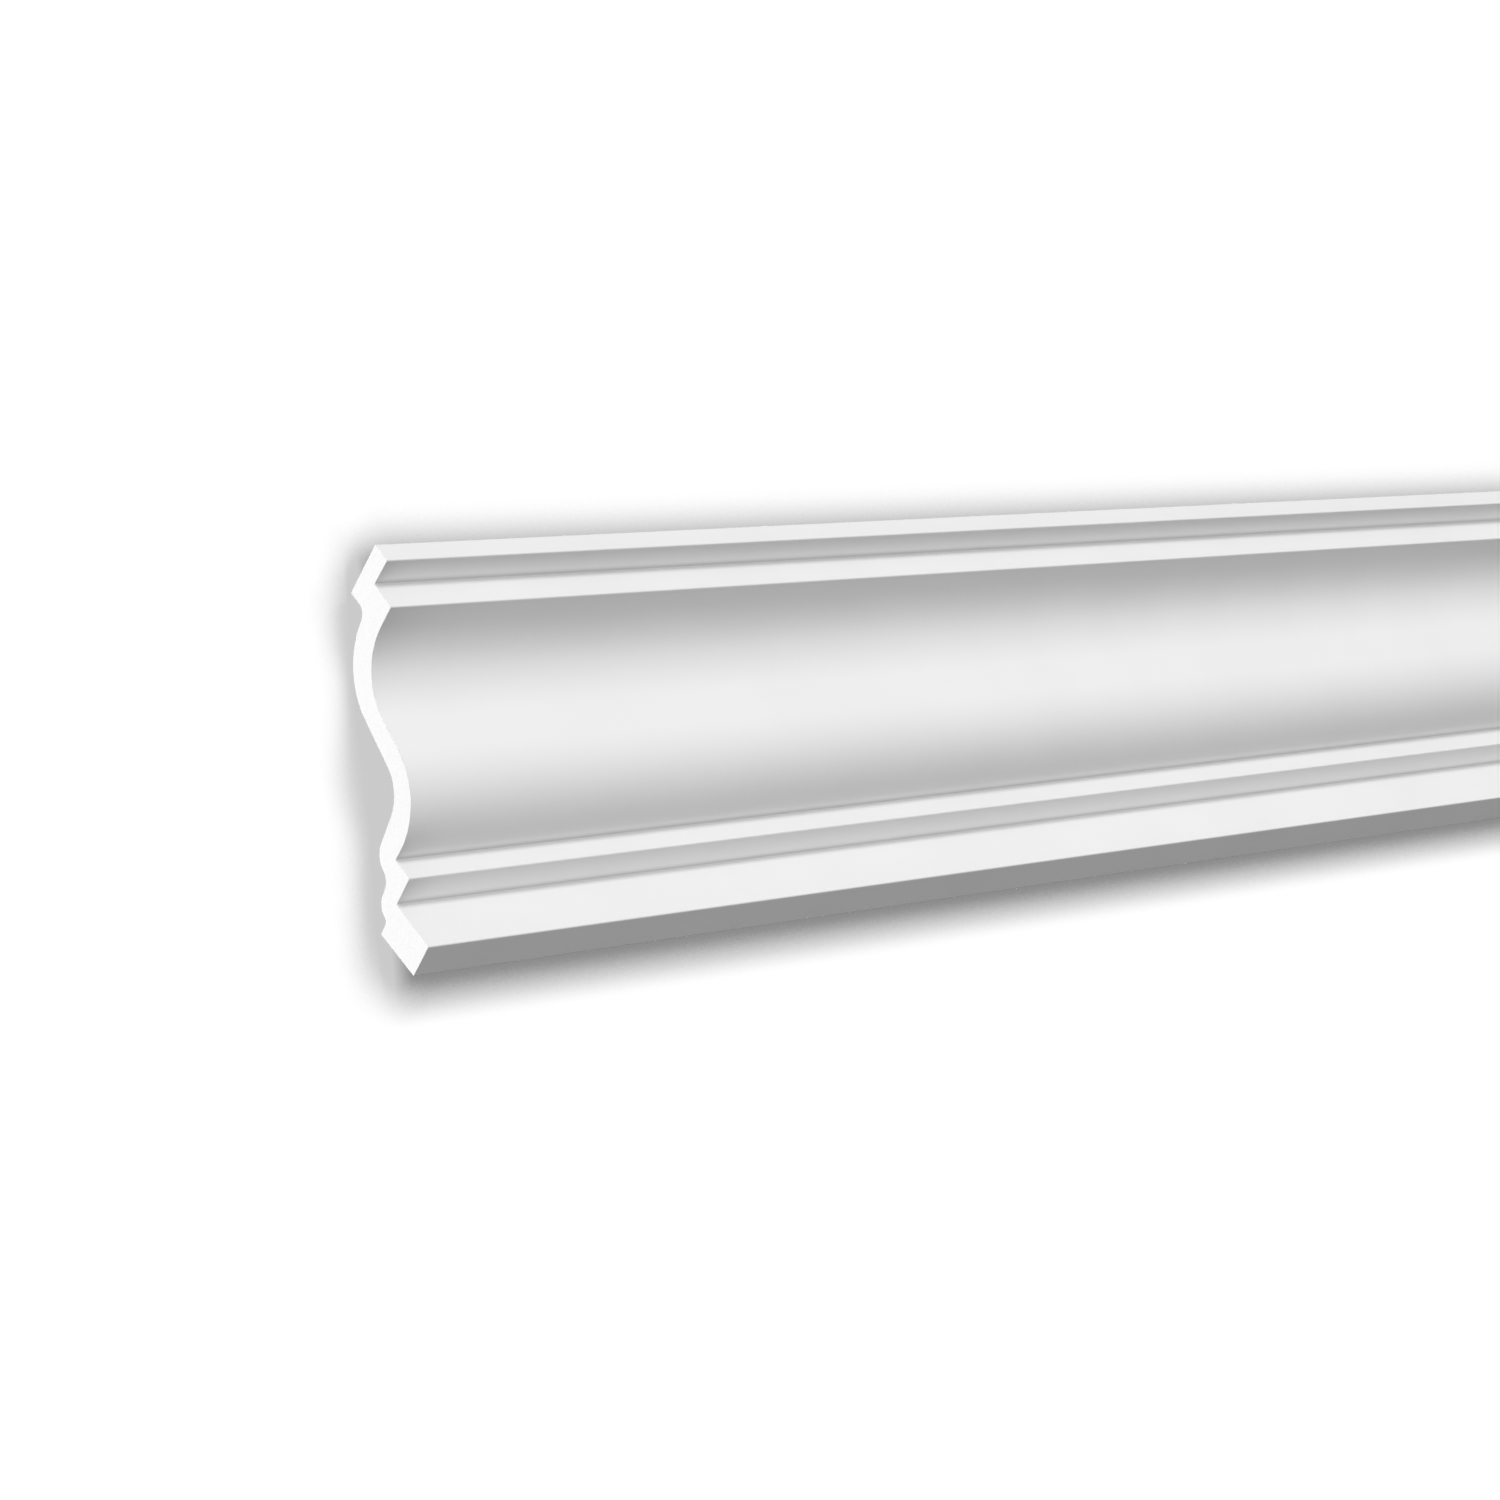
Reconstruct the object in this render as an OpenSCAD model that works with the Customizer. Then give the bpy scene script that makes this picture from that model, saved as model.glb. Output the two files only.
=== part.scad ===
// Crown moulding length: a one-piece moulded cornice that covers the joint of a wall and a ceiling.
// Frame: X along the length, Y from the room towards the wall, Z up.
// The origin is the middle of the flat that seats on the wall.

/* [Overall] */
// Length of the piece, sawn square at both ends
length = 680; // [300:10:2400]
// Height of wall that the moulding covers
drop = 98; // [80:0.1:140]
// Width of ceiling that the moulding covers
projection = 101.3; // [82:0.1:140]

/* [Seats] */
// Width of the flat that seats on the ceiling
ceiling_seat = 20.7; // [16:0.1:26]
// Height of the flat that seats on the wall
wall_seat = 20.2; // [14:0.1:24]

/* [Upper bands] */
// Height of the edge band at the ceiling
edge_band_h = 7.8; // [5:0.1:9]
// Width of the ledge under the edge band
edge_ledge_w = 10.2; // [6:0.1:12]
// How much that ledge rises towards the wall
edge_ledge_rise = 0.3; // [0:0.05:0.6]
// Height of the second band
neck_band_h = 10.7; // [8:0.1:16]
// Draft of the upper bands, in degrees
upper_draft = 4; // [0:0.5:6]

/* [Sweep] */
// Radius of the hollow upper curve, the cove
cove_r = 24.7; // [12:0.1:32]
// Radius of the full lower curve, the ovolo
ovolo_r = 26.8; // [14:0.1:32]
// Lean of the straight run between the two curves, in degrees
sweep_lean = 14.4; // [8:0.1:20]
// How far that run lies off the middle, towards the wall
sweep_offset = 1.4; // [0:0.1:4]

/* [Lower bands] */
// Height of the band under the ovolo
lower_band_h = 8.7; // [6:0.1:12]
// Width of the ledge under that band
lower_ledge_w = 11.1; // [8:0.1:14]
// How much that ledge falls towards the wall
lower_ledge_fall = 0.4; // [0:0.05:0.8]
// Height of the foot band against the wall
foot_band_h = 19.7; // [14:0.1:24]
// Thickness of the foot band
foot_band_t = 13.4; // [12:0.1:18]
// How much the underside falls towards the wall
foot_fall = 0.35; // [0:0.05:0.8]
// Draft of the lower bands, in degrees
lower_draft = 1.6; // [0:0.1:4]

/* [Back] */
// Thickness of the shelf between the ceiling seat and the cove
shelf_t = 9.3; // [7:0.1:12]
// Lean of the step behind the ceiling seat, in millimetres
shelf_step = 0.5; // [0:0.1:2]
// How far the back's corner lies in and up from the cove's corner
cove_back = [5.4, 6.8]; // [4:0.1:9]
// How far the back's corner lies in and up from the ovolo's corner
ovolo_back = [5.5, 11.8]; // [4:0.1:14]
// How far the back's corner lies in and up from the lower band's top
band_back = [5.7, 7.9]; // [4:0.1:10]
// How far the back's corner lies in and up from the lower band's foot
ledge_back = [7.9, 7.7]; // [5:0.1:10]
// How far the back's corner lies in and up from the foot band's top
foot_back = [6.6, 6.4]; // [4:0.1:8]
// Width of the shoulder on top of the wall seat
shoulder_w = 5.4; // [3:0.1:7]
// How much the shoulder rises away from the wall
shoulder_rise = 0.2; // [0:0.1:1]

/* [Roundings] */
// Radius on the outer arrises
arris_r = 0.6; // [0.2:0.1:1.2]
// Radius in the inner creases
crease_r = 0.4; // [0.1:0.1:1]
// Radius at the root of the shelf's step
shelf_root_r = 4.3; // [2:0.1:6]
// Radius of the back behind the cove
cove_back_r = 29; // [15:0.1:36]
// Radius of the back behind the ovolo
ovolo_back_r = 15.4; // [8:0.1:20]
// Radius of the back above the lower band
band_back_r = 8.4; // [4:0.1:10]
// Radius of the back below the lower band
ledge_back_r = 5; // [2:0.1:7]
// Radius of the back above the foot band
foot_back_r = 6.2; // [3:0.1:8]
// Radius at the root of the shoulder
shoulder_root_r = 2.4; // [1:0.1:4]

/* [Hidden] */
// Largest distance between a rounding and its facets
facet_error = 0.01;

// Every corner below is [out from the wall, down from the ceiling, rounding radius].
edge_top = [projection, 0, arris_r];
edge_foot = [projection - edge_band_h * tan(upper_draft), edge_band_h, arris_r];
neck_top = [edge_foot.x - edge_ledge_w, edge_foot.y - edge_ledge_rise, crease_r];
neck_foot = [neck_top.x - neck_band_h * tan(upper_draft), neck_top.y + neck_band_h, arris_r];

foot_bottom = [foot_band_t - foot_band_h * tan(lower_draft), drop - foot_fall, arris_r];
foot_top = [foot_band_t, foot_bottom.y - foot_band_h, crease_r];
band_foot = [foot_top.x + lower_ledge_w, foot_top.y - lower_ledge_fall, arris_r];
band_top = [band_foot.x + lower_band_h * tan(lower_draft), band_foot.y - lower_band_h, crease_r];

// The straight run of the sweep leans between the two soffits, and a curve eases it into each.
sweep_mid = (neck_foot.x + band_top.x) / 2 - sweep_offset;
sweep_half = (band_top.y - neck_foot.y) / 2 * tan(sweep_lean);
cove = [sweep_mid + sweep_half, neck_foot.y, cove_r];
ovolo = [sweep_mid - sweep_half, band_top.y, ovolo_r];

// The face, from the ceiling down to the wall.
face = [edge_top, edge_foot, neck_top, neck_foot, cove, ovolo, band_top, band_foot, foot_top, foot_bottom,
        [0, drop, crease_r]];

function behind(corner, gap, radius) = [corner.x - gap.x, corner.y - gap.y, radius];

// The back, from the wall up to the ceiling: it follows the face at the thickness of the shell.
back = [[0, drop - wall_seat, crease_r],
        [shoulder_w, drop - wall_seat - shoulder_rise, shoulder_root_r],
        behind(foot_top, foot_back, foot_back_r),
        behind(band_foot, ledge_back, ledge_back_r),
        behind(band_top, band_back, band_back_r),
        behind(ovolo, ovolo_back, ovolo_back_r),
        behind(cove, cove_back, cove_back_r),
        [projection - ceiling_seat - shelf_step, neck_foot.y - shelf_t, shelf_root_r],
        [projection - ceiling_seat, 0, crease_r]];

// Corner i of a closed outline, without its radius; i may run past either end.
function at(outline, i) = let (c = outline[(i + len(outline)) % len(outline)]) [c.x, c.y];
function radius_at(outline, i) = outline[(i + len(outline)) % len(outline)].z;

// Angle through which the outline turns at corner i, positive to the left.
function turn_at(outline, i) =
    let (u = at(outline, i) - at(outline, i - 1), v = at(outline, i + 1) - at(outline, i))
    atan2(cross(u, v), u * v);

// Length that the rounding at corner i takes from each of the two edges beside it.
function tangent_at(outline, i) = radius_at(outline, i) * tan(abs(turn_at(outline, i)) / 2);

// Share of the asked roundings that fits on the edge from corner i to the next.
function room(outline, i) =
    let (wanted = tangent_at(outline, i) + tangent_at(outline, i + 1))
    min(1, norm(at(outline, i + 1) - at(outline, i)) / wanted);

// Points of the arc at corner i, tangent to both edges.
function arc(outline, i) =
    let (r = radius_at(outline, i) * min(room(outline, i - 1), room(outline, i)),
         turn = turn_at(outline, i),
         side = sign(turn),
         run = at(outline, i) - at(outline, i - 1),
         heading = atan2(run.y, run.x),
         start = at(outline, i) - r * tan(abs(turn) / 2) * [cos(heading), sin(heading)],
         centre = start + side * r * [-sin(heading), cos(heading)],
         steps = ceil(abs(turn) / (2 * acos(1 - facet_error / r))))
    [for (k = [0:steps]) let (a = heading + turn * k / steps) centre + side * r * [sin(a), -cos(a)]];

function rounded(outline) = [for (i = [0:len(outline) - 1]) each arc(outline, i)];

// Cross-section as it is fixed: the wall at the right, the ceiling above.
module cross_section() {
    polygon([for (p = rounded(concat(face, back))) [-p.x, drop - wall_seat / 2 - p.y]]);
}

module crown_moulding() {
    color("white")
        translate([-length / 2, 0, 0])
            rotate([90, 0, 90])
                linear_extrude(height = length)
                    cross_section();
}

crown_moulding();
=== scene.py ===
"""Crown moulding length: one moulded polyurethane piece and a plain studio.

The face, back and sawn ends have their own finishes; everything is placed in the frame of the CAD model.
"""

import math

import bpy
import numpy as np
from bpy.props import FloatProperty, IntProperty, PointerProperty, StringProperty
from bpy.types import Operator, Panel, PropertyGroup
from mathutils import Matrix, Vector


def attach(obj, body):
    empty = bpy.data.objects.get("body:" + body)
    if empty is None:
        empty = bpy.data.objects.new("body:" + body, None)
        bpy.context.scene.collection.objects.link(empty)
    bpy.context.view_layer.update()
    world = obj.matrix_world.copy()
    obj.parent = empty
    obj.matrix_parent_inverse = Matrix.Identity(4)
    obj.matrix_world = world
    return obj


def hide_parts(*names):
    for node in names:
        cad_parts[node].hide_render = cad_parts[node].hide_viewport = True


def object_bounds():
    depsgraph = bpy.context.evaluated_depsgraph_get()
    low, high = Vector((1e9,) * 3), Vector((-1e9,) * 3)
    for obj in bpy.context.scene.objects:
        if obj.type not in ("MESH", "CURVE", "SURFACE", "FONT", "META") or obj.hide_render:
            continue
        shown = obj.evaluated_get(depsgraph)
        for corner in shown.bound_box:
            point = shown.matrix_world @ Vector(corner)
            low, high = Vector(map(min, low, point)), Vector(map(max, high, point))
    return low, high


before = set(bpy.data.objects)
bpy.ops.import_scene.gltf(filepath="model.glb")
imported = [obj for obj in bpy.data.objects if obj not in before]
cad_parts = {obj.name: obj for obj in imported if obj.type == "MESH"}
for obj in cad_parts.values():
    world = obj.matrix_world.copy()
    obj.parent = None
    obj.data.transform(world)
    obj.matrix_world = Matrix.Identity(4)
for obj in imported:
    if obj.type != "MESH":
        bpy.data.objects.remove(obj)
CAD_LOW, CAD_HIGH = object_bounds()

bl_info = {
    "name": "Crown Moulding Length",
    "version": (1, 0, 0),
    "blender": (4, 5, 0),
    "location": "View3D > Sidebar > Moulding",
    "description": "Builds a length of moulded crown moulding and a plain studio round it",
    "category": "Add Mesh",
}

MM = 0.001
SENSOR_W = 36.0  # width of the camera's sensor, which Blender keeps in millimetres
WAVE_LENGTH = 2 * math.pi / 20  # length of one ring of the wave texture at a scale of 1
NOISE_SPAN = (0.3, 0.7)  # range in which soft noise mostly lies
MIST_SPAN = (0.38, 0.62)  # narrower range, which makes clearer patches of noise
CELL_SPAN = (0.1, 0.7)  # from a cell's middle to its wall, in cells
# CREASE_SPAN sets where the painted crease shade in the primer starts and ends.
CREASE_SPAN = (0.5, 1.0)  # openness from deep in an inner corner to a flat
HOLE_RIM = 0.4  # half width of a pinhole's soft rim, as a share of its radius
PAINT_IOR = 1.5
FOAM_IOR = 1.45
PAPER_SPAN = (-0.3, 0.45)  # where the paper turns from grey to white, as cosines to straight behind the film
CLIP_NEAR = 10 * MM  # nearest distance that the camera sees
CLIP_FAR = 80.0  # farthest, in metres: well past the backdrop
LAMPS = ("key", "fill", "low", "rear")
NEAR_SIDE = Vector((-1.0, 0.0, 0.0))


# ---------------------------------------------------------------- settings


def size(name, millimetres, description):
    """A length property in metres, given in millimetres."""
    return FloatProperty(name=name, description=description, default=millimetres * MM, precision=5,
                         unit="LENGTH")


def angle(name, degrees, description):
    """An angle property, given in degrees."""
    return FloatProperty(name=name, description=description, default=math.radians(degrees), unit="ROTATION")


def tint(name, hex_code, description):
    """A colour property, kept as the sRGB hex value that a paint card gives."""
    return StringProperty(name=name, description=description, default=hex_code)


def share(name, value, description):
    """A plain number from 0 upwards."""
    return FloatProperty(name=name, description=description, default=value, min=0.0)


def power(name, watts, description):
    """A lamp's power in watts."""
    return FloatProperty(name=name, description=description, default=watts, min=0.0, unit="POWER")


class SectionSettings(PropertyGroup):
    """Cross-section of the moulding: the face from the ceiling down to the wall, then the back up again."""

    drop: size("Drop", 98.0, "Height of wall that the moulding covers")
    projection: size("Projection", 101.3, "Width of ceiling that the moulding covers")
    ceiling_seat: size("Ceiling seat", 20.7, "Width of the flat that seats on the ceiling")
    wall_seat: size("Wall seat", 20.2, "Height of the flat that seats on the wall")

    edge_band_h: size("Edge band", 7.8, "Height of the edge band at the ceiling")
    edge_ledge_w: size("Edge ledge", 10.2, "Width of the ledge under the edge band")
    edge_ledge_rise: size("Edge ledge rise", 0.3, "How much that ledge rises towards the wall")
    neck_band_h: size("Neck band", 10.7, "Height of the second band")
    upper_draft: angle("Upper draft", 4.0, "Draft of the two upper bands")

    cove_r: size("Cove radius", 24.7, "Radius of the hollow upper curve")
    ovolo_r: size("Ovolo radius", 26.8, "Radius of the full lower curve")
    sweep_lean: angle("Sweep lean", 14.4, "Lean of the straight run between the two curves")
    sweep_offset: size("Sweep offset", 1.4, "How far that run lies off the middle, towards the wall")

    lower_band_h: size("Lower band", 8.7, "Height of the band under the ovolo")
    lower_ledge_w: size("Lower ledge", 11.1, "Width of the ledge under that band")
    lower_ledge_fall: size("Lower ledge fall", 0.4, "How much that ledge falls towards the wall")
    foot_band_h: size("Foot band", 19.7, "Height of the foot band against the wall")
    foot_band_t: size("Foot band thickness", 13.4, "Thickness of the foot band")
    foot_fall: size("Foot fall", 0.35, "How much the underside falls towards the wall")
    lower_draft: angle("Lower draft", 1.6, "Draft of the two lower bands")

    arris_r: size("Arris", 0.6, "Radius on the outer arrises")
    crease_r: size("Crease", 0.4, "Radius in the inner creases")


class BackSettings(PropertyGroup):
    """Relieved back: each corner lies in and up from a corner of the face, and is rounded."""

    shelf_t: size("Shelf", 9.3, "Thickness of the shelf between the ceiling seat and the cove")
    shelf_step: size("Shelf step", 0.5, "Lean of the step behind the ceiling seat")
    shelf_root_r: size("Shelf root", 4.3, "Radius at the root of that step")
    cove_in: size("Cove, in", 5.4, "How far the back lies in from the cove's corner")
    cove_up: size("Cove, up", 6.8, "How far the back lies up from the cove's corner")
    cove_back_r: size("Behind the cove", 29.0, "Radius of the back behind the cove")
    ovolo_in: size("Ovolo, in", 5.5, "How far the back lies in from the ovolo's corner")
    ovolo_up: size("Ovolo, up", 11.8, "How far the back lies up from the ovolo's corner")
    ovolo_back_r: size("Behind the ovolo", 15.4, "Radius of the back behind the ovolo")
    band_in: size("Band, in", 5.7, "How far the back lies in from the lower band's top")
    band_up: size("Band, up", 7.9, "How far the back lies up from the lower band's top")
    band_back_r: size("Behind the band", 8.4, "Radius of the back above the lower band")
    ledge_in: size("Ledge, in", 7.9, "How far the back lies in from the lower band's foot")
    ledge_up: size("Ledge, up", 7.7, "How far the back lies up from the lower band's foot")
    ledge_back_r: size("Behind the ledge", 5.0, "Radius of the back below the lower band")
    foot_in: size("Foot, in", 6.6, "How far the back lies in from the foot band's top")
    foot_up: size("Foot, up", 6.4, "How far the back lies up from the foot band's top")
    foot_back_r: size("Behind the foot", 6.2, "Radius of the back above the foot band")
    shoulder_w: size("Shoulder", 5.4, "Width of the shoulder on top of the wall seat")
    shoulder_rise: size("Shoulder rise", 0.2, "How much that shoulder rises away from the wall")
    shoulder_root_r: size("Shoulder root", 2.4, "Radius at the root of the shoulder")


class MeshSettings(PropertyGroup):
    """How finely the moulding is divided, and how its sawn ends are eased."""

    arc_steps: IntProperty(name="Arc steps", description="Facets in each rounding", default=24, min=4)
    guard: size("Guard", 0.12, "Distance from each rounding to the line that keeps the flats flat")
    station: size("Station", 20.0, "Distance between cross-sections along the length")
    end_ease: size("End ease", 0.2, "Radius left on the sawn ends' edges by light sanding")
    end_steps: IntProperty(name="End steps", description="Facets in that easing", default=3, min=1)


class FinishSettings(PropertyGroup):
    """Colours and textures of the three surfaces of the one piece."""

    primer: tint("Primer", "#F7F7F7", "Factory primer on the moulded face")
    spray_grain: size("Spray grain", 1.4, "Width of the primer's orange peel")
    spray_relief: size("Spray relief", 0.012, "Depth of that orange peel")
    spray_drift: size("Spray drift", 45.0, "Width of the passes between which the coat differs a little")
    # These two paint shade into the primer's colour in its inner corners: a painted shade, not a change in
    # the coat.
    painted_crease_reach: size("Crease reach", 2.5, "Distance from an inner corner over which the primer greys")
    painted_crease_shade: share("Crease shade", 0.45, "How much darker the primer is in an inner corner")
    primer_thin: share("Thin coat", 0.015, "How much darker the primer is where the coat is thinnest")
    primer_smooth: share("Primer, smooth", 0.44, "Roughness of the primer where it flowed best")
    primer_rough: share("Primer, rough", 0.52, "Roughness of the primer where it dried fastest")

    skin: tint("Skin", "#E4E2DA", "Bare moulded skin of the back")
    mist: tint("Mist", "#EDECE8", "Thin overspray of primer on the back")
    mist_patch: size("Mist patch", 38.0, "Width of the patches where the overspray thins out")
    skin_grain: size("Skin grain", 3.2, "Width of the ripples left by the mould's release film")
    skin_relief: size("Skin relief", 0.06, "Depth of those ripples")
    pinhole_pitch: size("Pinhole pitch", 5.5, "Distance between the skin's pinholes")
    pinhole_w: size("Pinhole", 0.5, "Width of a pinhole")
    # Painted shade: a pinhole's colour is darkened where its relief sinks.
    pinhole_painted_shade: share("Pinhole shade", 0.4, "How much darker a pinhole is than the skin")
    # Painted shade: the skin's colour is darkened in the ripples' hollows.
    ripple_painted_shade: share("Ripple shade", 0.03, "How much darker the skin is in the ripples' hollows")
    skin_rough: share("Skin roughness", 0.5, "Roughness of the bare skin")
    mist_rough: share("Mist roughness", 0.66, "Roughness of the overspray")

    foam: tint("Sawn foam", "#F8F8F8", "Sawn polyurethane at the ends")
    cell_w: size("Cell", 0.8, "Width of a cut foam cell, drawn four times its real size so that it shows")
    cell_relief: size("Cell relief", 0.03, "Depth of a cut foam cell")
    kerf_pitch: size("Kerf pitch", 1.3, "Distance between the marks of the saw's teeth")
    kerf_relief: size("Kerf relief", 0.012, "Depth of those marks")
    saw_reach: size("Saw reach", 150.0, "Distance from the section's corner to the saw's arbor")
    wall_shade: share("Cell wall shade", 0.03, "How much darker a cell's wall is than its middle")
    cell_rough: share("Cell roughness", 0.72, "Roughness in the middle of a cut cell")
    wall_rough: share("Cell wall roughness", 0.85, "Roughness of a cut cell's wall")


class StudioSettings(PropertyGroup):
    """Camera, backdrop, lamps and the room's own light."""

    azimuth: angle("Azimuth", -55.154, "Direction from which the camera looks, 0 along +Y")
    elevation: angle("Elevation", -29.516, "Height of the camera over the horizon")
    roll: angle("Roll", -41.135, "Turn of the camera about its own axis")
    lens: FloatProperty(name="Lens", description="Focal length", default=100.43, unit="CAMERA")
    stand_x: size("Camera along", -889.4, "From the near end's top front corner to the camera, lengthways")
    stand_y: size("Camera out", -677.2, "From that corner to the camera, out from the wall")
    stand_z: size("Camera up", -782.0, "From that corner to the camera, upwards")

    backdrop_w: size("Backdrop", 8000.0, "Width of the backdrop")
    backdrop_gap: size("Backdrop gap", 2.5, "Distance from the piece's two back edges to the backdrop")
    # The shade settings below shape a shadow painted on the backdrop film from an occlusion measure; no lamp
    # casts it.
    shade_reach: size("Shade reach", 26.0, "How far the piece's soft shade reaches over the backdrop")
    shade_lean: angle("Shade lean", 20.0, "How far the light that makes that shade leans from the upper side")
    shade_side: angle("Shade side", 15.0, "How far that light leans from the near end's side")
    shade_floor: share("Shade floor", 0.25, "Brightness of the shade where it is deepest")
    shade_hollow: share("Hollow shade", 0.58, "Least brightness of the shade in the hollow and near the end")
    shade_edge: size("Hollow edge", 6.0, "Width over which the hollow's shade turns into the open one")
    shade_near: size("Near shade", 6.0, "How far the lighter shade beside the near end reaches in")
    shade_turn: size("Near turn", 14.0, "Width over which that shade turns into the open one")
    shade_dark: share("Shade dark", 0.55, "Openness at which the shade is that deep")
    shade_clear: share("Shade clear", 0.95, "Openness at which the backdrop is clear again")
    wall_white: share("White side", 1.02, "Brightness of the paper behind the backdrop")
    wall_grey: share("Grey side", 0.66, "Brightness of the paper on the piece's other side")

    lamp_distance: size("Lamp distance", 6000.0, "Distance of the softboxes from the piece")
    lamp_w: size("Lamp width", 2900.0, "Width of the softboxes")
    key_azimuth: angle("Key azimuth", -120.0, "Side from which the key lamp shines")
    key_elevation: angle("Key elevation", 30.0, "Height from which the key lamp shines")
    key_power: power("Key power", 392.0, "Power of the key lamp")
    fill_azimuth: angle("Fill azimuth", 0.0, "Side from which the fill lamp shines")
    fill_elevation: angle("Fill elevation", 0.0, "Height from which the fill lamp shines")
    fill_power: power("Fill power", 122.0, "Power of the fill lamp")
    low_azimuth: angle("Low azimuth", 0.0, "Side from which the low lamp shines")
    low_elevation: angle("Low elevation", -60.0, "Height from which the low lamp shines")
    low_power: power("Low power", 57.0, "Power of the low lamp")
    rear_azimuth: angle("Rear azimuth", 120.0, "Side from which the rear lamp shines")
    rear_elevation: angle("Rear elevation", 30.0, "Height from which the rear lamp shines")
    rear_power: power("Rear power", 220.0, "Power of the rear lamp")
    front_glow: share("Front glow", 0.81, "Brightness of the room's light from in front of the wall")
    rear_glow: share("Rear glow", 0.2, "Brightness of the room's light from above and behind")


# ---------------------------------------------------------------- shape


def section_corners(s, b):
    """Corners of the closed section as rows of [out from the wall, down from the ceiling, rounding radius].

    The face's corners come first, from the ceiling down to the wall, then the back's, from the wall up.
    Returns the rows and how many of them belong to the face.
    """
    upper, lower = math.tan(s.upper_draft), math.tan(s.lower_draft)
    edge_foot = (s.projection - s.edge_band_h * upper, s.edge_band_h)
    neck_top = (edge_foot[0] - s.edge_ledge_w, edge_foot[1] - s.edge_ledge_rise)
    neck_foot = (neck_top[0] - s.neck_band_h * upper, neck_top[1] + s.neck_band_h)
    foot_bottom = (s.foot_band_t - s.foot_band_h * lower, s.drop - s.foot_fall)
    foot_top = (s.foot_band_t, foot_bottom[1] - s.foot_band_h)
    band_foot = (foot_top[0] + s.lower_ledge_w, foot_top[1] - s.lower_ledge_fall)
    band_top = (band_foot[0] + s.lower_band_h * lower, band_foot[1] - s.lower_band_h)

    # The straight run of the sweep leans between the two soffits, and a curve eases it into each.
    middle = (neck_foot[0] + band_top[0]) / 2 - s.sweep_offset
    half = (band_top[1] - neck_foot[1]) / 2 * math.tan(s.sweep_lean)
    cove = (middle + half, neck_foot[1])
    ovolo = (middle - half, band_top[1])

    face = [
        (s.projection, 0.0, s.arris_r),
        (*edge_foot, s.arris_r),
        (*neck_top, s.crease_r),
        (*neck_foot, s.arris_r),
        (*cove, s.cove_r),
        (*ovolo, s.ovolo_r),
        (*band_top, s.crease_r),
        (*band_foot, s.arris_r),
        (*foot_top, s.crease_r),
        (*foot_bottom, s.arris_r),
        (0.0, s.drop, s.crease_r),
    ]
    seat_top = s.drop - s.wall_seat
    lip = s.projection - s.ceiling_seat
    back = [
        (0.0, seat_top, s.crease_r),
        (b.shoulder_w, seat_top - b.shoulder_rise, b.shoulder_root_r),
        (foot_top[0] - b.foot_in, foot_top[1] - b.foot_up, b.foot_back_r),
        (band_foot[0] - b.ledge_in, band_foot[1] - b.ledge_up, b.ledge_back_r),
        (band_top[0] - b.band_in, band_top[1] - b.band_up, b.band_back_r),
        (ovolo[0] - b.ovolo_in, ovolo[1] - b.ovolo_up, b.ovolo_back_r),
        (cove[0] - b.cove_in, cove[1] - b.cove_up, b.cove_back_r),
        (lip - b.shelf_step, neck_foot[1] - b.shelf_t, b.shelf_root_r),
        (lip, 0.0, s.crease_r),
    ]
    return np.array(face + back), len(face)


def rounded_outline(corners, steps, guard):
    """Closed outline with an arc at every corner, and its outward normals.

    At a corner where the outline turns by t, an arc of radius r touches both edges r * tan(t / 2) from the
    corner. A point on it is the arc's centre plus r times the normal, and the normal turns evenly from the
    first edge's to the second's. One more point lies on each edge just beyond the arc, so that the flats
    shade flat, or a third of the way to the next arc where less room than that is left.
    Returns points and normals as arrays of shape (corners, steps + 3, 2).
    """
    points, radius = corners[:, :2], corners[:, 2]
    run = np.roll(points, -1, axis=0) - points
    leaving = np.arctan2(run[:, 1], run[:, 0])
    arriving = np.roll(leaving, 1)
    turn = (leaving - arriving + np.pi) % (2 * np.pi) - np.pi
    ahead = np.stack([np.cos(arriving), np.sin(arriving)], axis=1)
    after = np.stack([np.cos(leaving), np.sin(leaving)], axis=1)
    tangent = radius * np.tan(np.abs(turn) / 2)
    flat = np.linalg.norm(run, axis=1) - tangent - np.roll(tangent, -1)
    if flat.min() < 0:
        raise ValueError("the roundings at both ends of an edge are longer than the edge")
    past = np.minimum(guard, flat / 3)
    start = points - ahead * tangent[:, None]
    # The solid lies on the left of the outline's heading, so the outward normal is the heading turned right.
    side = np.sign(turn)
    left = np.stack([-ahead[:, 1], ahead[:, 0]], axis=1)
    centre = start + left * (side * radius)[:, None]

    heading = arriving[:, None] + turn[:, None] * np.linspace(0.0, 1.0, steps + 1)
    right = np.stack([np.sin(heading), -np.cos(heading)], axis=2)
    arc = centre[:, None] + right * (side * radius)[:, None, None]
    before = start - ahead * np.roll(past, 1)[:, None]
    beyond = points + after * (tangent + past)[:, None]
    outline = np.concatenate([before[:, None], arc, beyond[:, None]], axis=1)
    normals = np.concatenate([right[:, :1], right, right[:, -1:]], axis=1)
    return outline, normals


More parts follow.
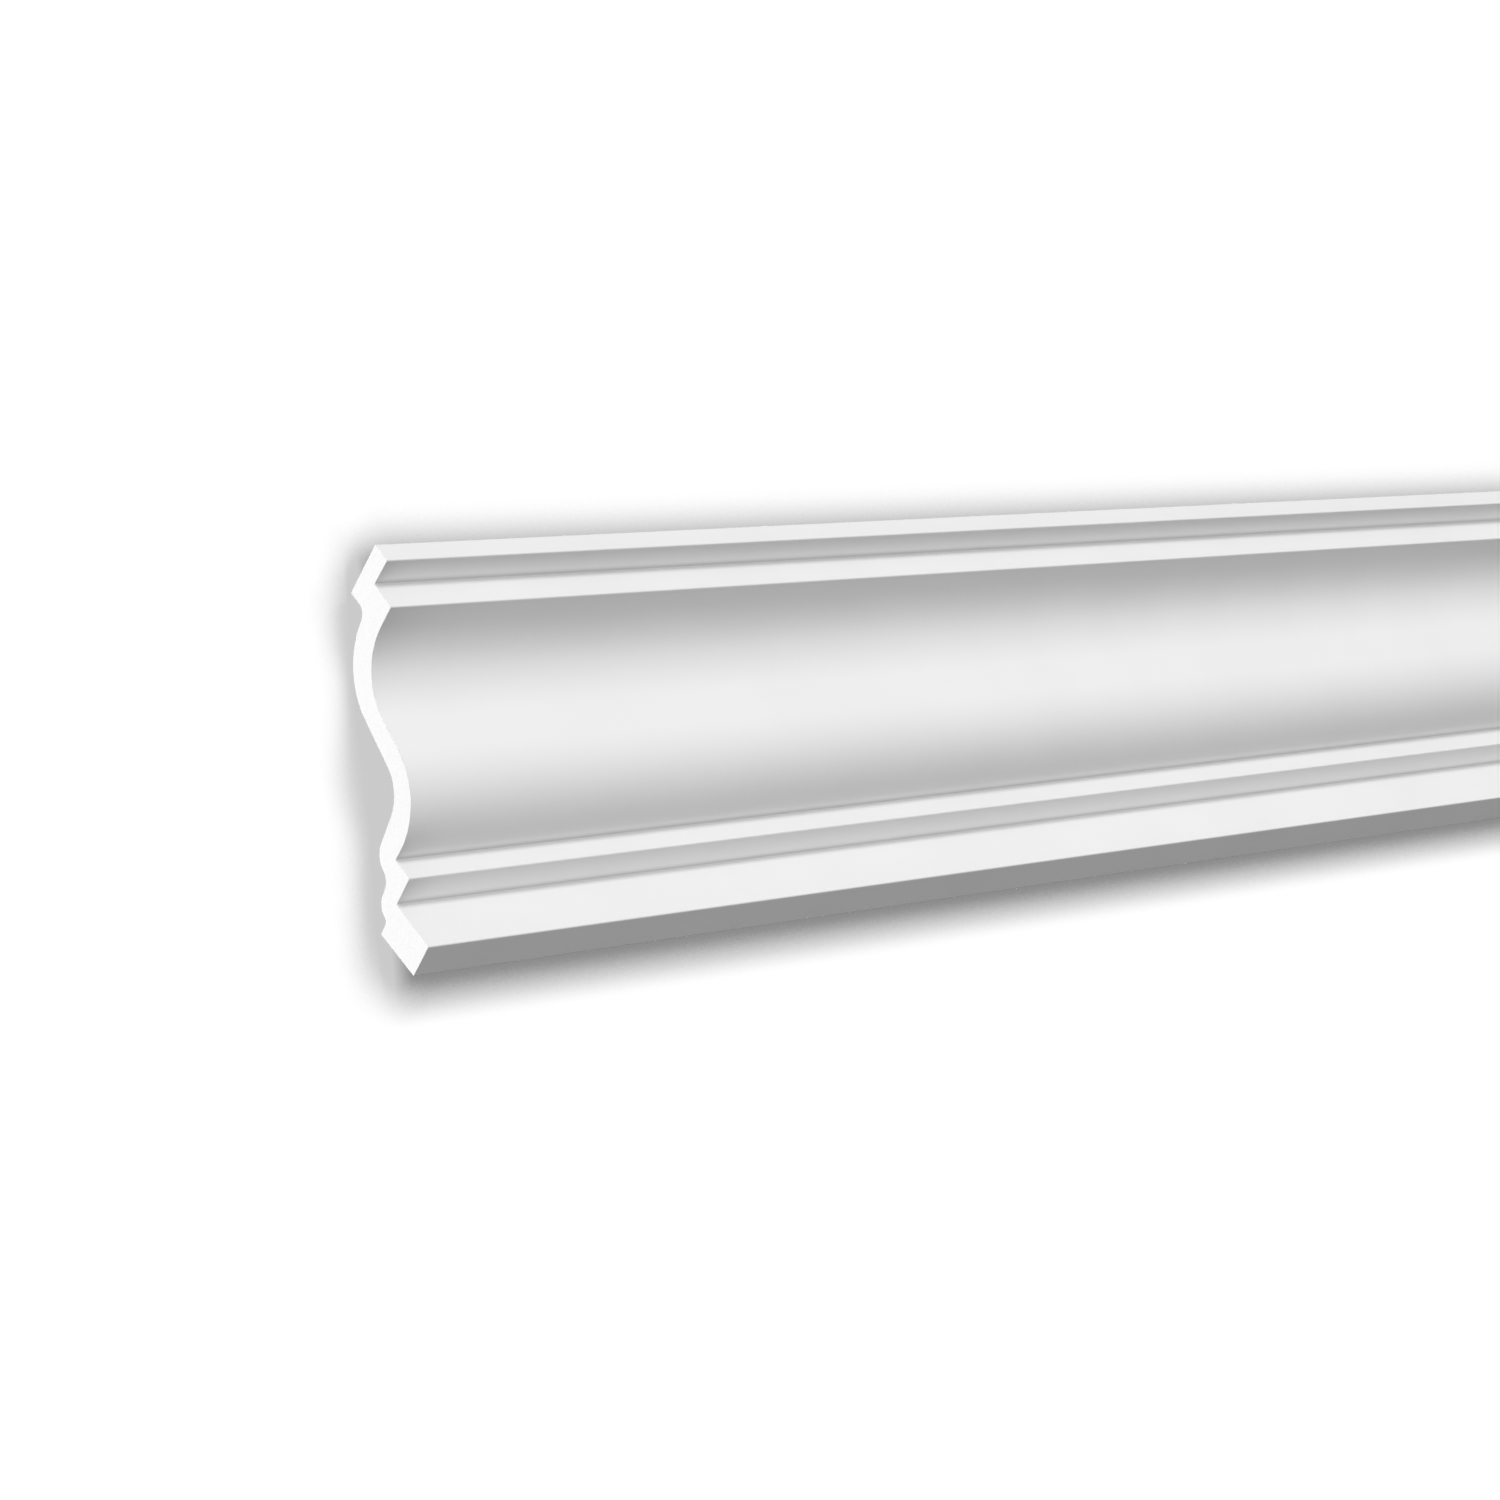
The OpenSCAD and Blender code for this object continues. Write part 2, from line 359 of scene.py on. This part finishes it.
def moulding_mesh(name, settings):
    """The section carried along X, with its sawn ends eased by a quarter round.

    A point is (x, -out, ceiling - down). Near an end the section shrinks along its normals by
    ease * (1 - sin a) while x runs in from the end by ease * (1 - cos a), for a from 0 to 90 degrees.
    """
    mesh_set = settings.mesh
    corners, face_corners = section_corners(settings.section, settings.back)
    outline, normals = rounded_outline(corners, mesh_set.arc_steps, mesh_set.guard)
    per_corner = outline.shape[1]
    outline, normals = outline.reshape(-1, 2), normals.reshape(-1, 2)

    low, high = CAD_LOW.x, CAD_HIGH.x
    ease = mesh_set.end_ease
    a = np.linspace(0.0, np.pi / 2, mesh_set.end_steps + 1)
    inner = np.linspace(low + ease, high - ease, round((high - low) / mesh_set.station) + 1)[1:-1]
    along = np.concatenate([low + ease * (1 - np.cos(a)), inner, high - ease * (1 - np.cos(a[::-1]))])
    shrink = np.concatenate([ease * (1 - np.sin(a)), np.zeros(len(inner)), ease * (1 - np.sin(a[::-1]))])

    ring = outline[None] - normals[None] * shrink[:, None, None]
    x = np.broadcast_to(along[:, None], ring.shape[:2])
    vertices = np.stack([x, CAD_HIGH.y - ring[..., 0], CAD_HIGH.z - ring[..., 1]], axis=2).reshape(-1, 3)

    rows, columns = len(along), len(outline)
    j, i = np.meshgrid(np.arange(rows - 1), np.arange(columns), indexing="ij")
    k = (i + 1) % columns
    quads = np.stack([j * columns + i, j * columns + k, (j + 1) * columns + k, (j + 1) * columns + i], axis=2)
    near_cap = np.arange(columns)[::-1]
    far_cap = np.arange(columns) + (rows - 1) * columns
    faces = quads.reshape(-1, 4).tolist() + [near_cap.tolist(), far_cap.tolist()]

    mesh = bpy.data.meshes.new(name)
    mesh.from_pydata(vertices, [], faces)
    # Slot 0 is the face, slot 1 the back and the two seats, slot 2 the sawn ends.
    behind = i >= face_corners * per_corner - 1
    slots = np.concatenate([behind.astype(np.int32).ravel(), [2, 2]]).astype(np.int32)
    mesh.polygons.foreach_set("material_index", slots)
    smooth = np.ones(len(slots), dtype=bool)
    smooth[-2:] = False
    mesh.polygons.foreach_set("use_smooth", smooth)
    mesh.validate()
    mesh.update()
    return mesh


# ---------------------------------------------------------------- finishes


def linear(hex_code):
    """Linear RGBA of an sRGB hex value: a power curve of 2.4, straight near black."""
    srgb = np.array([int(hex_code[k : k + 2], 16) for k in (1, 3, 5)]) / 255
    rgb = np.where(srgb <= 0.04045, srgb / 12.92, ((srgb + 0.055) / 1.055) ** 2.4)
    return (*rgb.tolist(), 1.0)


def add_node(tree, kind, sockets=None, links=None, **settings):
    """Adds one node, sets its properties and input sockets, and links its inputs from other nodes."""
    made = tree.nodes.new(kind)
    for key, value in settings.items():
        setattr(made, key, value)
    for key, value in (sockets or {}).items():
        made.inputs[key].default_value = value
    for key, source in (links or {}).items():
        tree.links.new(source, made.inputs[key])
    return made


def new_material(name):
    """An empty node material."""
    material = bpy.data.materials.new(name)
    material.use_nodes = True
    material.node_tree.nodes.clear()
    return material


def noise(tree, place, width, detail, roughness=0.5):
    """Soft noise from 0 to 1 whose blotches are about that wide."""
    sockets = {"Scale": 1 / width, "Detail": detail, "Roughness": roughness}
    return add_node(tree, "ShaderNodeTexNoise", sockets, {"Vector": place}).outputs["Fac"]


def remap(tree, value, start, end, low, high, interpolation="LINEAR"):
    """A value carried from start..end to low..high, and held beyond both."""
    sockets = {"From Min": start, "From Max": end, "To Min": low, "To Max": high}
    return add_node(tree, "ShaderNodeMapRange", sockets, {"Value": value},
                    interpolation_type=interpolation).outputs["Result"]


def maths(tree, operation, *values):
    """One arithmetic step on one or two values."""
    step = add_node(tree, "ShaderNodeMath", links=dict(enumerate(values)), operation=operation)
    return step.outputs["Value"]


def dot(tree, value, direction):
    """How far a vector value reaches along a fixed direction."""
    return add_node(tree, "ShaderNodeVectorMath", {1: direction}, {0: value},
                    operation="DOT_PRODUCT").outputs["Value"]


def toned(tree, hex_code, tone):
    """A colour made darker or lighter by a value that varies over the surface."""
    return add_node(tree, "ShaderNodeVectorMath", {0: linear(hex_code)[:3]}, {"Scale": tone},
                    operation="SCALE").outputs["Vector"]


def raised(tree, height, depth, under=None):
    """Normals of a relief that is depth deep, laid over another relief where there is one."""
    links = {"Height": height}
    if under:
        links["Normal"] = under
    return add_node(tree, "ShaderNodeBump", {"Distance": depth}, links).outputs["Normal"]


def surface(tree, colour, roughness, normal, ior):
    """Principled surface with a varying colour, roughness and relief, and the material's own IOR."""
    shader = add_node(tree, "ShaderNodeBsdfPrincipled", {"IOR": ior},
                      {"Base Color": colour, "Roughness": roughness, "Normal": normal})
    add_node(tree, "ShaderNodeOutputMaterial", links={"Surface": shader.outputs["BSDF"]})


def primed_face(finish):
    """Water-based primer sprayed on moulded polyurethane: an even satin white with a faint orange peel.

    The primer's colour is darkened in the inner corners: a painted shade that stands in for the shade that
    falls there.
    """
    material = new_material("Primed moulded polyurethane")
    tree = material.node_tree
    place = add_node(tree, "ShaderNodeTexCoord").outputs["Object"]
    peel = noise(tree, place, finish.spray_grain, detail=3.0, roughness=0.55)
    drift = noise(tree, place, finish.spray_drift, detail=2.0)
    # Painted shade: the primer's colour is darkened in inner corners by an occlusion measure.
    openness = add_node(tree, "ShaderNodeAmbientOcclusion", {"Distance": finish.painted_crease_reach}, samples=8)
    painted_shade = remap(tree, openness.outputs["AO"], *CREASE_SPAN, 1 - finish.painted_crease_shade, 1.0)
    tone = maths(tree, "MULTIPLY", painted_shade, remap(tree, drift, *NOISE_SPAN, 1 - finish.primer_thin, 1.0))
    roughness = remap(tree, drift, *NOISE_SPAN, finish.primer_smooth, finish.primer_rough)
    relief = raised(tree, peel, finish.spray_relief)
    surface(tree, toned(tree, finish.primer, tone), roughness, relief, PAINT_IOR)
    return material


def moulded_back(finish):
    """Back as it leaves the mould: rippled foam skin with a few pinholes, under a thin, patchy overspray."""
    material = new_material("Moulded polyurethane skin")
    tree = material.node_tree
    place = add_node(tree, "ShaderNodeTexCoord").outputs["Object"]
    ripple = noise(tree, place, finish.skin_grain, detail=4.0, roughness=0.6)
    patches = noise(tree, place, finish.mist_patch, detail=4.0, roughness=0.6)
    mist = remap(tree, patches, *MIST_SPAN, 0.0, 1.0, "SMOOTHSTEP")
    cells = add_node(tree, "ShaderNodeTexVoronoi", {"Scale": 1 / finish.pinhole_pitch}, {"Vector": place})
    edge = finish.pinhole_w / finish.pinhole_pitch / 2
    distance = cells.outputs["Distance"]
    filled = remap(tree, distance, edge * (1 - HOLE_RIM), edge * (1 + HOLE_RIM), 0.0, 1.0, "SMOOTHSTEP")

    # Sockets 6 and 7 are the two colours of a colour mix, and output 2 is its result.
    colour = add_node(tree, "ShaderNodeMix", {6: linear(finish.skin), 7: linear(finish.mist)}, {0: mist},
                      data_type="RGBA").outputs[2]
    # Painted shade: the skin is darker in its pinholes, where the relief sinks.
    painted_pinhole_shade = remap(tree, filled, 0.0, 1.0, 1 - finish.pinhole_painted_shade, 1.0)
    # Painted shade: the skin is also darker in the ripples' hollows, following their relief.
    tone = maths(tree, "MULTIPLY", painted_pinhole_shade, remap(tree, ripple, *NOISE_SPAN, 1 - finish.ripple_painted_shade, 1.0))
    shaded = add_node(tree, "ShaderNodeVectorMath", links={0: colour, "Scale": tone}, operation="SCALE")
    roughness = remap(tree, mist, 0.0, 1.0, finish.skin_rough, finish.mist_rough)
    relief = raised(tree, filled, finish.pinhole_w / 2, raised(tree, ripple, finish.skin_relief))
    surface(tree, shaded.outputs["Vector"], roughness, relief, PAINT_IOR)
    return material


def sawn_foam(finish):
    """Rigid polyurethane foam cut by a fine circular saw: matt and chalky, with cut cells and faint arcs."""
    material = new_material("Sawn polyurethane foam")
    tree = material.node_tree
    place = add_node(tree, "ShaderNodeTexCoord").outputs["Object"]
    lean = finish.saw_reach * math.sqrt(0.5)
    to_arbor = (0.0, -CAD_HIGH.y - lean, -CAD_HIGH.z - lean)
    centred = add_node(tree, "ShaderNodeMapping", {"Location": to_arbor}, {"Vector": place})
    wave = {"Scale": WAVE_LENGTH / finish.kerf_pitch, "Distortion": 3.0, "Detail": 2.0, "Detail Scale": 0.4}
    kerf = add_node(tree, "ShaderNodeTexWave", wave, {"Vector": centred.outputs["Vector"]},
                    wave_type="RINGS", rings_direction="X")
    cells = add_node(tree, "ShaderNodeTexVoronoi", {"Scale": 1 / finish.cell_w}, {"Vector": place})
    cell = cells.outputs["Distance"]
    relief = raised(tree, cell, finish.cell_relief, raised(tree, kerf.outputs["Fac"], finish.kerf_relief))
    tone = remap(tree, cell, *CELL_SPAN, 1.0, 1 - finish.wall_shade)
    roughness = remap(tree, cell, *CELL_SPAN, finish.cell_rough, finish.wall_rough)
    surface(tree, toned(tree, finish.foam, tone), roughness, relief, FOAM_IOR)
    return material


# ---------------------------------------------------------------- studio


def outward(azimuth, elevation):
    """Direction to something seen at that azimuth, 0 being straight out from the wall, and that elevation."""
    level = math.cos(elevation)
    return Vector((math.sin(azimuth) * level, -math.cos(azimuth) * level, math.sin(elevation)))


def stand_camera(studio):
    """The camera, placed from the near end's top front corner and turned about its own axis."""
    back = outward(studio.azimuth, studio.elevation)
    level = Vector((math.cos(studio.azimuth), math.sin(studio.azimuth), 0.0))
    right = Matrix.Rotation(studio.roll, 3, back) @ level
    corner = Vector((CAD_LOW.x, CAD_LOW.y, CAD_HIGH.z))
    place = corner + Vector((studio.stand_x, studio.stand_y, studio.stand_z))
    data = bpy.data.cameras.new("camera")
    data.lens = studio.lens
    data.sensor_width = SENSOR_W
    data.clip_start = CLIP_NEAR
    data.clip_end = CLIP_FAR
    camera = bpy.data.objects.new("camera", data)
    turn = Matrix((right, back.cross(right), back)).transposed().to_4x4()
    camera.matrix_world = Matrix.Translation(place) @ turn
    return camera


def backdrop_axes(section):
    """Middle, front and upper side of the plane on which the piece's two back edges lie."""
    lip = Vector((0.0, CAD_LOW.y + section.ceiling_seat, CAD_HIGH.z))
    heel = Vector((0.0, CAD_HIGH.y, CAD_LOW.z + section.wall_seat))
    upper = (lip - heel).normalized()
    return (lip + heel) / 2, Vector((1.0, 0.0, 0.0)).cross(upper), upper


def painted_backdrop_shade(studio, middle, front, upper):
    """Clear film that carries a painted shadow of the piece, darkening the white paper behind it, seen from
    the front only.

    The shade is kept lighter in the hollow, between the heights of the piece's two back edges, and beside the
    near end.
    """
    material = new_material("Backdrop shade")
    tree = material.node_tree
    side = add_node(tree, "ShaderNodeNewGeometry")
    leaning = front + upper * math.tan(studio.shade_lean) + NEAR_SIDE * math.tan(studio.shade_side)
    leaning.normalize()
    aim = add_node(tree, "ShaderNodeCombineXYZ", {"X": leaning.x, "Y": leaning.y, "Z": leaning.z})
    # The painted shadow comes from occlusion round a leaning aim, not from the lamps.
    openness = add_node(tree, "ShaderNodeAmbientOcclusion", {"Distance": studio.shade_reach},
                        {"Normal": aim.outputs["Vector"]}, samples=16)
    open_share = openness.outputs["AO"]
    shade = remap(tree, open_share, studio.shade_dark, studio.shade_clear, studio.shade_floor, 1.0)
    place = add_node(tree, "ShaderNodeTexCoord").outputs["Object"]
    offset = add_node(tree, "ShaderNodeVectorMath", {1: middle}, {0: place}, operation="SUBTRACT")
    height = maths(tree, "ABSOLUTE", dot(tree, offset.outputs["Vector"], upper))
    edge = (CAD_HIGH.z - middle.z) / upper.z
    hollow = remap(tree, height, edge - studio.shade_edge, edge, studio.shade_hollow, 0.0)
    near = CAD_LOW.x + studio.shade_near
    along = add_node(tree, "ShaderNodeSeparateXYZ", links={"Vector": place}).outputs["X"]
    beside = remap(tree, along, near, near + studio.shade_turn, studio.shade_hollow, 0.0)
    lit = maths(tree, "MAXIMUM", shade, maths(tree, "MAXIMUM", beside, hollow))
    seen = maths(tree, "MAXIMUM", lit, side.outputs["Backfacing"])
    film = add_node(tree, "ShaderNodeBsdfTransparent", links={"Color": seen})
    add_node(tree, "ShaderNodeOutputMaterial", links={"Surface": film.outputs["BSDF"]})
    return material


def flat_panel(name, centre, across, rise, width):
    """A square whose front looks along the cross product of its two directions."""
    half = width / 2
    signs = ((-1, -1), (1, -1), (1, 1), (-1, 1))
    corners = [centre + across * (half * i) + rise * (half * j) for i, j in signs]
    mesh = bpy.data.meshes.new(name)
    mesh.from_pydata(corners, [], [(0, 1, 2, 3)])
    return bpy.data.objects.new(name, mesh)


def softbox(name, studio):
    """A square area lamp that looks at the middle of the piece from the side given by its settings."""
    direction = outward(getattr(studio, f"{name}_azimuth"), getattr(studio, f"{name}_elevation"))
    data = bpy.data.lights.new(name, "AREA")
    data.shape = "SQUARE"
    data.size = studio.lamp_w
    data.energy = getattr(studio, f"{name}_power")
    lamp = bpy.data.objects.new(name, data)
    lamp.location = (CAD_LOW + CAD_HIGH) / 2 + direction * studio.lamp_distance
    lamp.rotation_mode = "QUATERNION"
    lamp.rotation_quaternion = direction.to_track_quat("Z", "Y")
    return lamp


def room(studio, front):
    """White paper as the background, and the room's soft light: one glow from in front and one from behind.

    A glow's brightness is its strength times the cosine of the angle to its middle. The paper is white behind
    the backdrop and turns evenly to pale grey on the piece's other side.
    """
    world = bpy.data.worlds.new("Studio room")
    world.use_nodes = True
    tree = world.node_tree
    tree.nodes.clear()
    way = add_node(tree, "ShaderNodeTexCoord").outputs["Generated"]

    ahead = remap(tree, dot(tree, way, (0.0, -1.0, 0.0)), 0.0, 1.0, 0.0, studio.front_glow)
    above_behind = Vector((0.0, 1.0, 1.0)).normalized()
    behind = remap(tree, dot(tree, way, above_behind), 0.0, 1.0, 0.0, studio.rear_glow)
    light = maths(tree, "ADD", ahead, behind)
    facing = dot(tree, way, -front)
    paper = remap(tree, facing, *PAPER_SPAN, studio.wall_grey, studio.wall_white, "SMOOTHSTEP")
    seen = add_node(tree, "ShaderNodeLightPath").outputs["Is Camera Ray"]
    # Sockets 2 and 3 are the two values of a number mix.
    chosen = add_node(tree, "ShaderNodeMix", links={0: seen, 2: light, 3: paper}, data_type="FLOAT")
    white = (1.0, 1.0, 1.0, 1.0)
    sky = add_node(tree, "ShaderNodeBackground", {"Color": white}, {"Strength": chosen.outputs[0]})
    add_node(tree, "ShaderNodeOutputWorld", links={"Surface": sky.outputs["Background"]})
    return world


# ---------------------------------------------------------------- operators


class MOULDING_OT_piece(Operator):
    """Build the moulding over its CAD solid"""

    bl_idname = "moulding.piece"
    bl_label = "Moulding"

    def execute(self, context):
        settings = context.scene.moulding
        mesh = moulding_mesh("moulding", settings)
        for make in (primed_face, moulded_back, sawn_foam):
            mesh.materials.append(make(settings.finish))
        piece = bpy.data.objects.new("moulding", mesh)
        context.collection.objects.link(piece)
        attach(piece, "root")
        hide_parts("crown_moulding")
        return {"FINISHED"}


class MOULDING_OT_studio(Operator):
    """Set up the camera, backdrop, lamps and room"""

    bl_idname = "moulding.studio"
    bl_label = "Studio"

    def execute(self, context):
        scene = context.scene
        studio = scene.moulding.studio
        scene.view_settings.view_transform = "Standard"

        scene.camera = stand_camera(studio)
        middle, front, upper = backdrop_axes(scene.moulding.section)
        centre = middle - front * studio.backdrop_gap
        # The backdrop is a clear film that carries the painted shadow of the piece.
        backdrop = flat_panel("backdrop", centre, -NEAR_SIDE, upper, studio.backdrop_w)
        backdrop.data.materials.append(painted_backdrop_shade(studio, middle, front, upper))
        # The film lights and shades nothing, so the piece's back stays as bright as its face.
        backdrop.visible_diffuse = False
        backdrop.visible_glossy = False
        backdrop.visible_shadow = False

        lamps = [softbox(name, studio) for name in LAMPS]
        for thing in (scene.camera, backdrop, *lamps):
            context.collection.objects.link(thing)
        scene.world = room(studio, front)
        return {"FINISHED"}


class MouldingSettings(PropertyGroup):
    """Everything that a user would change."""

    section: PointerProperty(type=SectionSettings)
    back: PointerProperty(type=BackSettings)
    mesh: PointerProperty(type=MeshSettings)
    finish: PointerProperty(type=FinishSettings)
    studio: PointerProperty(type=StudioSettings)


class MOULDING_PT_panel(Panel):
    """Sizes, finishes and the two build steps"""

    bl_label = "Crown moulding"
    bl_idname = "MOULDING_PT_panel"
    bl_space_type = "VIEW_3D"
    bl_region_type = "UI"
    bl_category = "Moulding"

    def draw(self, context):
        settings = context.scene.moulding
        for title, group in (("Section", settings.section), ("Back", settings.back), ("Mesh", settings.mesh),
                             ("Finish", settings.finish), ("Studio", settings.studio)):
            box = self.layout.box()
            box.label(text=title)
            for key in group.bl_rna.properties.keys():
                if key not in {"rna_type", "name"}:
                    box.prop(group, key)
        self.layout.operator("moulding.piece")
        self.layout.operator("moulding.studio")


CLASSES = (
    SectionSettings,
    BackSettings,
    MeshSettings,
    FinishSettings,
    StudioSettings,
    MouldingSettings,
    MOULDING_OT_piece,
    MOULDING_OT_studio,
    MOULDING_PT_panel,
)


def register():
    for cls in CLASSES:
        bpy.utils.register_class(cls)
    bpy.types.Scene.moulding = PointerProperty(type=MouldingSettings)


def unregister():
    del bpy.types.Scene.moulding
    for cls in reversed(CLASSES):
        bpy.utils.unregister_class(cls)


def main():
    register()
    bpy.ops.moulding.piece()
    bpy.ops.moulding.studio()


if __name__ == "__main__":
    main()
